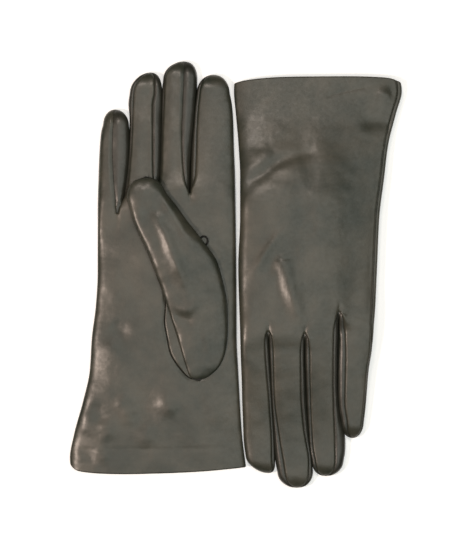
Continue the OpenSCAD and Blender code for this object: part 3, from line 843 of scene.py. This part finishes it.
def thumb_sheet(glove, palm):
    """The thumb's leather as one sheet, laid on the palm: points, faces, which of them are
    the thumb's base, and the line of points that is sewn to the palm."""
    first, (tip_u, tip_v) = THUMB["left"][0][0], THUMB["tip"]
    s = np.linspace(0, 0.975, THUMB_ROWS)
    us = first + (tip_u - first) * (0.5 * (1 - np.cos(math.pi * s)) * 0.7 + s * 0.3)
    points = [on_palm(glove, palm, u, v, w) for u in us for v, w in thumb_section(u)]
    table = np.arange(len(points)).reshape(THUMB_ROWS, -1)
    pole = len(points)
    points.append(on_palm(glove, palm, tip_u, tip_v, 0.45 * THUMB["height"][-1][1]))
    after = np.vstack([table[1:], np.full_like(table[0], pole)])
    quads = np.stack([table[:, :-1], table[:, 1:], after[:, 1:], after[:, :-1]], -1).reshape(-1, 4)
    faces = [q[:3] if q[2] == pole else q for q in quads]
    base = np.repeat(us < THUMB["fold"], table.shape[1] - 1).astype(int)
    sewn = table[us < THUMB["closes"][1]]
    return np.array(points), faces, base.tolist(), np.concatenate([sewn[::-1, 0], sewn[:, -1]])


def resting_height(glove, palm, x, t, w):
    """Height of the palm below a point of the thumb. It is the real surface for a point
    that touches it and the smooth crown of the palm for one above."""
    side = glove["side"]
    left, right = (edge(min(t, 66)) for edge in side_curves(glove["sleeve"]))
    f = min(1.0, abs(2 * x - left - right) / (right - left))
    crown = max(0.0, 1 - f ** (2 / HAND_E)) ** (HAND_E / 2)
    z = HAND_GAUGE / 2 * (1 + side * crown) + lift(glove, x, t)
    found = height_at(palm, x, t, side)
    if found is None:
        return z
    share = math.exp(-max(w - 0.3, 0) / 1.6) * smoothstep((75 - t) / 30)
    return z + np.clip(found - z, -1.6, 1.6) * share


def inside_hole(glove, points):
    """Which points lie within the hole in the palm that the thumb is sewn to, and the
    nearest place on its edge for each."""
    us = np.linspace(PALM_HOLE["from"], PALM_HOLE["to"], 24)
    rim = PALM_HOLE["rim"]
    left, right = smooth_curve(THUMB["left"])(us) + rim, smooth_curve(THUMB["right"])(us) - rim
    round_end = np.sqrt(1 - (2 * (us - us[0]) / (us[-1] - us[0]) - 1) ** 4 * 0.98)
    mid, half = (left + right) / 2, (right - left) / 2 * round_end
    oval = [thumb_place(glove, u, m - h) for u, m, h in zip(us, mid, half)]
    oval += [thumb_place(glove, u, m + h) for u, m, h in zip(us[::-1], mid[::-1], half[::-1])]
    oval.append(oval[0])
    x, t = points[:, 0], points[:, 1]
    inside = np.zeros(len(points), bool)
    for (x0, t0), (x1, t1) in zip(oval[:-1], oval[1:]):
        if t0 != t1:
            inside ^= ((t0 > t) != (t1 > t)) & (x < x0 + (t - t0) * (x1 - x0) / (t1 - t0))
    return inside, nearest_on_line(points, oval)[2]


def cut_thumb_hole(glove, points, quads, normals):
    """The quads left after the thumb hole is cut, with its edge pulled onto the oval."""
    inside, nearest = inside_hole(glove, points)
    palm = normals[:, 2] * glove["side"] > 0.3
    gone = (inside & palm)[quads].all(axis=1)
    kept = quads[~gone]
    edge = np.intersect1d(quads[gone].ravel(), kept.ravel())
    points = points.copy()
    points[edge, :2] = nearest[edge]
    return points, kept


def tube(path, radii, sides=8):
    """Points and faces of a tube along a path, with closed ends."""
    path = np.array(path, float)
    radii = np.broadcast_to(radii, len(path))
    ahead = np.gradient(path, axis=0)
    ahead /= np.linalg.norm(ahead, axis=1)[:, None]
    points, guide = [], np.array((0.0, 0.0, 1.0))
    if abs(ahead[0] @ guide) > 0.9:
        guide = np.array((1.0, 0.0, 0.0))
    for p, d, r in zip(path, ahead, radii):
        guide = guide - (guide @ d) * d
        guide /= np.linalg.norm(guide)
        other = np.cross(d, guide)
        for j in range(sides):
            a = 2 * math.pi * j / sides
            points.append(p + r * (math.cos(a) * guide + math.sin(a) * other))
    table = np.arange(len(points)).reshape(-1, sides)
    return points, [*quads_between(table), table[0, ::-1], table[-1]]


def value_at(at, along, values):
    """The value at a distance along a line, between the values at its points."""
    return np.array([np.interp(at, along, column) for column in values.T])


# Stitches: from one to the next, their length and their radius.
STITCH_PITCH = 1.0
STITCH_LENGTH = 0.72
STITCH_R = 0.15


def stitches(name, glove, lines, keep=lambda p: True, radius=STITCH_R):
    """One object of short sewn stitches along each of the lines of (points, normals)."""
    points, faces = [], []
    for line, normals in lines:
        line, normals = np.array(line), np.array(normals)
        gaps = np.linalg.norm(np.diff(line, axis=0), axis=1)
        along = np.concatenate([[0], np.cumsum(gaps)])
        for at in np.arange(STITCH_PITCH, along[-1] - STITCH_PITCH, STITCH_PITCH):
            a = value_at(at - STITCH_LENGTH / 2, along, line)
            b = value_at(at + STITCH_LENGTH / 2, along, line)
            n = value_at(at, along, normals)
            middle = (a + b) / 2 + n * radius * 0.9
            if keep(middle):
                rise = n * radius * 0.7
                path = [a, a * 0.75 + b * 0.25 + rise, middle, a * 0.25 + b * 0.75 + rise, b]
                p, f = tube(path, [radius * 0.6, radius, radius, radius, radius * 0.6], 6)
                faces += [[len(points) + v for v in face] for face in f]
                points += p
    return thread_object(name, glove, points, faces)


def thread_object(name, glove, points, faces):
    """A smooth object of thread, from points (x, t, z) in millimetres."""
    obj = mesh_object(name, in_frame(glove, np.array(points)), faces)
    if glove["side"] < 0:
        obj.data.flip_normals()
    obj.data.polygons.foreach_set("use_smooth", [True] * len(obj.data.polygons))
    return obj


# Between the cuff and the hem that is turned in under it.
HEM_GAP = 0.12


def hem_of(skin):
    """The leather turned in at the cuff: round the edge and back along the inside."""
    table = skin["sleeve"]
    points, normals = skin["points"], skin["normals"]
    edge, after = points[table[0]], points[table[1]]
    n = normals[table[0]]
    out = edge - after
    out -= (out * n).sum(1)[:, None] * n
    out /= np.linalg.norm(out, axis=1)[:, None]
    r = LEATHER_T + HEM_GAP
    rows, facing = [], []
    for a in np.radians([8, 35, 65, 90, 115, 145, 172]):
        rows.append(edge - n * r + n * r * math.cos(a) + out * r * math.sin(a))
        facing.append(n * math.cos(a) + out * math.sin(a))
    for k in range(1, skin["hem_rows"] + 1):
        rows.append(points[table[k]] - normals[table[k]] * 2 * r)
        facing.append(-normals[table[k]])
    quads = quads_between(np.arange(len(rows) * len(edge)).reshape(len(rows), -1))
    return np.concatenate(rows), np.concatenate(facing), quads


def in_body(obj, glove, body):
    """Fixes a piece to the hand; a piece of any other body only has its place baked into its mesh."""
    name, side = glove["name"], glove["side"]
    if body == "hand":
        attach(obj, f"{name}_hand")
        return
    if body == "thumb":
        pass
    elif body == "cuff":
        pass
    else:
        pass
    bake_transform(obj)


def finish_piece(obj, glove, body, slot, *nodes):
    """Gives a piece the look of its slot, fixes it to the hand or bakes its place into its mesh, and hides
    the CAD nodes that it replaces.
    """
    obj.data.materials.append(LOOKS[slot])
    in_body(obj, glove, body)
    if nodes:
        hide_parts(*[f"{glove['name']}_{n}" for n in nodes])


def sheet_piece(name, glove, points, normals, quads, thickness, body, slot, node):
    """A shell made from points (x, t, z) in millimetres, put into the frame and finished."""
    side = glove["side"]
    obj = shell(f"{glove['name']}_{name}", in_frame(glove, points), normals * (1, side, 1),
                quads if side > 0 else quads[:, ::-1], thickness * MM)
    finish_piece(obj, glove, body, slot, node)


def leather_pieces(glove, skin):
    """The trank, the fingers' strips and the walls between them."""
    points, quads, kind = skin["points"], skin["quads"], skin["kind"]
    walls = np.char.endswith(kind, "_walls")
    normals = point_normals(points, quads[~walls], len(points))
    wall_normals = point_normals(points, quads[walls], len(points))
    holed, kept = cut_thumb_hole(glove, points, quads[kind == "hand"], normals)
    cuff = quads[(kind == "cuff") | (kind == "hem")]
    sheet_piece("trank", glove, holed, normals, kept, LEATHER_T, "hand", "leather", "trank_hand")
    sheet_piece("cuff", glove, points, normals, cuff, LEATHER_T, "cuff", "leather", "trank_cuff")
    for finger in FINGERS:
        strips = f"{finger}_wrap" if finger == "index" else f"{finger}_strips"
        sheet_piece(f"{strips}_leather", glove, points, normals, quads[kind == finger], LEATHER_T,
                    finger, "leather", strips)
        fourchettes = f"{finger}_fourchette" + ("s" if finger in ("middle", "ring") else "")
        # The fourchettes take the darker leather, which paints the shade between the fingers.
        sheet_piece(f"{fourchettes}_leather", glove, points, wall_normals,
                    quads[kind == f"{finger}_walls"], LEATHER_T, finger, "fourchette_leather", fourchettes)


def lining_pieces(glove, skin):
    """The knitted lining inside the leather, in one piece a body."""
    quads = skin["coarse"]
    kind = np.char.replace(skin["coarse_kind"], "_walls", "")
    count = quads.max() + 1
    normals = point_normals(skin["points"][:count], quads, count)
    sunk = skin["points"][:count] - normals * LINING_DEPTH
    holed, kept = cut_thumb_hole(glove, sunk, quads[kind == "hand"], normals)
    sheet_piece("hand_lining", glove, holed, normals, kept, LINING_T, "hand", "lining", "lining_hand")
    sheet_piece("cuff_lining", glove, sunk, normals, quads[kind == "cuff"], LINING_T,
                "cuff", "lining", "lining_cuff")
    for finger in FINGERS:
        sheet_piece(f"{finger}_knit", glove, sunk, normals, quads[kind == finger], LINING_T,
                    finger, "lining", f"{finger}_lining")


def hem_piece(glove, skin):
    """The turned hem."""
    sheet_piece("turned_hem", glove, *hem_of(skin), LEATHER_T, "cuff", "leather", "hem")


# Depth and half width of the dip that the thumb's seam presses into the palm.
THUMB_SEAM_DIP = (0.65, 1.15)


def press_thumb_seam(glove, skin, line):
    """The palm dips along the seam that the thumb is sewn in by."""
    gap = nearest_on_line(skin["points"], line[:, :2])[0]
    palm = smoothstep((skin["normals"][:, 2] * glove["side"] - 0.2) / 0.5)
    dip = THUMB_SEAM_DIP[0] * palm * np.exp(-((gap / THUMB_SEAM_DIP[1]) ** 2))
    skin["points"] = skin["points"] - skin["normals"] * dip[:, None]


# The thumb's seam is sewn with thicker thread, which stands up from the palm.
THUMB_STITCH_R = 0.3
THUMB_STITCH_UP = 0.45


def thumb_pieces(glove, skin):
    """The thumb's leather and lining, each split at the fold, and the seam round its foot."""
    points, faces, base, seam = thumb_sheet(glove, surface(skin["points"], skin["quads"]))
    dense, quads, kind = subdivided("thumb_sheet", points, faces, base)
    dense = sculpt_thumb(glove, dense, point_normals(dense, quads, len(dense)))
    normals = point_normals(dense, quads, len(dense))
    for part, chosen, node in (("base", kind == 1, "thumb_base"), ("free", kind == 0, "thumb")):
        sheet_piece(f"thumb_{part}_leather", glove, dense, normals, quads[chosen], THUMB_LEATHER_T,
                    "thumb", "leather", node)
        sheet_piece(f"thumb_{part}_knit", glove, dense - normals * THUMB_LINING_DEPTH, normals,
                    quads[chosen], THUMB_LINING_T, "thumb", "lining", f"{node}_lining")
    line = dense[seam]
    n = np.tile((0, 0, float(glove["side"])), (len(seam), 1))
    thread = stitches(f"{glove['name']}_thumb_stitches", glove, [(line + THUMB_STITCH_UP * n, n)],
                      radius=THUMB_STITCH_R)
    finish_piece(thread, glove, "thumb", "thread", "thumb_seam")
    press_thumb_seam(glove, skin, line)


def seam_stitches(glove, skin):
    """Stitches in the side seam, and along each finger's seams."""
    name = glove["name"]
    line = skin["seams"]["side"]
    points, normals = skin["points"], skin["normals"]
    lines = [(points[line], normals[line])]
    hand = stitches(f"{name}_side_stitches_hand", glove, lines, lambda p: p[1] > CUFF_SPLIT_T)
    finish_piece(hand, glove, "hand", "thread", "side_seam_hand")
    cuff = stitches(f"{name}_side_stitches_cuff", glove, lines, lambda p: p[1] < CUFF_SPLIT_T - 1)
    finish_piece(cuff, glove, "cuff", "thread", "side_seam_cuff")
    for finger in FINGERS:
        lines = [(points[v], normals[v]) for k, v in skin["seams"].items() if k.startswith(finger)]
        obj = stitches(f"{name}_{finger}_stitches", glove, lines)
        finish_piece(obj, glove, finger, "thread")


# The loop of thread: its centre (x, t), its half sizes along x and t, and the thread's radius.
LOOP_AT = (-20.8, 21.6)
LOOP_SIZE = (2.6, 3)
LOOP_R = 0.62


def thread_loop(glove, skin):
    """A small loop of thread at the thumb's crotch, left from pairing the gloves."""
    palm = surface(skin["points"], skin["quads"])
    path = []
    for a in np.radians(np.arange(-150, 151, 15)):
        x = LOOP_AT[0] + LOOP_SIZE[0] * math.cos(a)
        t = LOOP_AT[1] + LOOP_SIZE[1] * math.sin(a)
        path.append((x, t, height_at(palm, x, t, 1) + 0.7 + 0.5 * math.cos(a)))
    loop = thread_object("right_thread_loop", glove, *tube(path, LOOP_R))
    finish_piece(loop, glove, "hand", "thread", "pairing_loop")


for glove in (RIGHT, LEFT):
    skin = skin_of(glove)
    thumb_pieces(glove, skin)
    leather_pieces(glove, skin)
    lining_pieces(glove, skin)
    hem_piece(glove, skin)
    seam_stitches(glove, skin)
    if glove is RIGHT:
        thread_loop(glove, skin)

# Studio: a bright white table, a large soft light to the right, two small lamps that put
# the streaks of light on the folds, and a faint white surround.
TABLE_HALF = 2
TABLE_Z = -0.0003
LIGHTS = {
    "softbox": {"place": (0.34, -0.1, 1.25), "size": 1.1, "power": 7.5, "tint": (0.975, 1, 0.92)},
    "key": {"place": (-0.52, -0.14, 0.9), "size": 0.14, "power": 5.2, "tint": (1, 0.8, 0.68)},
    "top": {"place": (-0.12, 0.42, 0.95), "size": 0.15, "power": 2.0, "tint": (1, 0.86, 0.76)},
}


def white_table():
    """The table that the pair lies on. It glows, to be as bright as the photograph's background."""
    a, z = TABLE_HALF, TABLE_Z
    table = mesh_object("floor", [(-a, -a, z), (a, -a, z), (a, a, z), (-a, a, z)], [(0, 1, 2, 3)])
    white, _, _, shader = node_material("white_table")
    set_inputs(shader, base_color=(0.93, 0.93, 0.93, 1), roughness=0.9, emission_color=(1, 1, 1, 1),
               emission_strength=0.46)
    table.data.materials.append(white)


def area_light(name, place, size, power, tint):
    """A square light that faces the frame's origin."""
    data = bpy.data.lights.new(name, "AREA")
    data.size = size
    data.energy = power
    data.color = tint
    light = bpy.data.objects.new(name, data)
    light.location = place
    light.rotation_euler = (-Vector(place)).to_track_quat("-Z", "Y").to_euler()
    bpy.context.scene.collection.objects.link(light)


white_table()
for name, light in LIGHTS.items():
    area_light(name, **light)
world = bpy.data.worlds.new("studio")
world.use_nodes = True
set_inputs(world.node_tree.nodes["Background"], color=(1, 1, 1, 1), strength=0.03)
bpy.context.scene.world = world
bpy.context.scene.view_settings.view_transform = "Standard"

# The camera looks straight down on a view of this height.
CAMERA_HEIGHT = 1.5
VIEW_HEIGHT = 0.362
SENSOR = 36
camera_data = bpy.data.cameras.new("camera")
camera_data.sensor_width = SENSOR
camera_data.lens = SENSOR * CAMERA_HEIGHT / VIEW_HEIGHT
camera = bpy.data.objects.new("camera", camera_data)
camera.location = (-0.00065, -0.0026, CAMERA_HEIGHT)
bpy.context.scene.collection.objects.link(camera)
bpy.context.scene.camera = camera
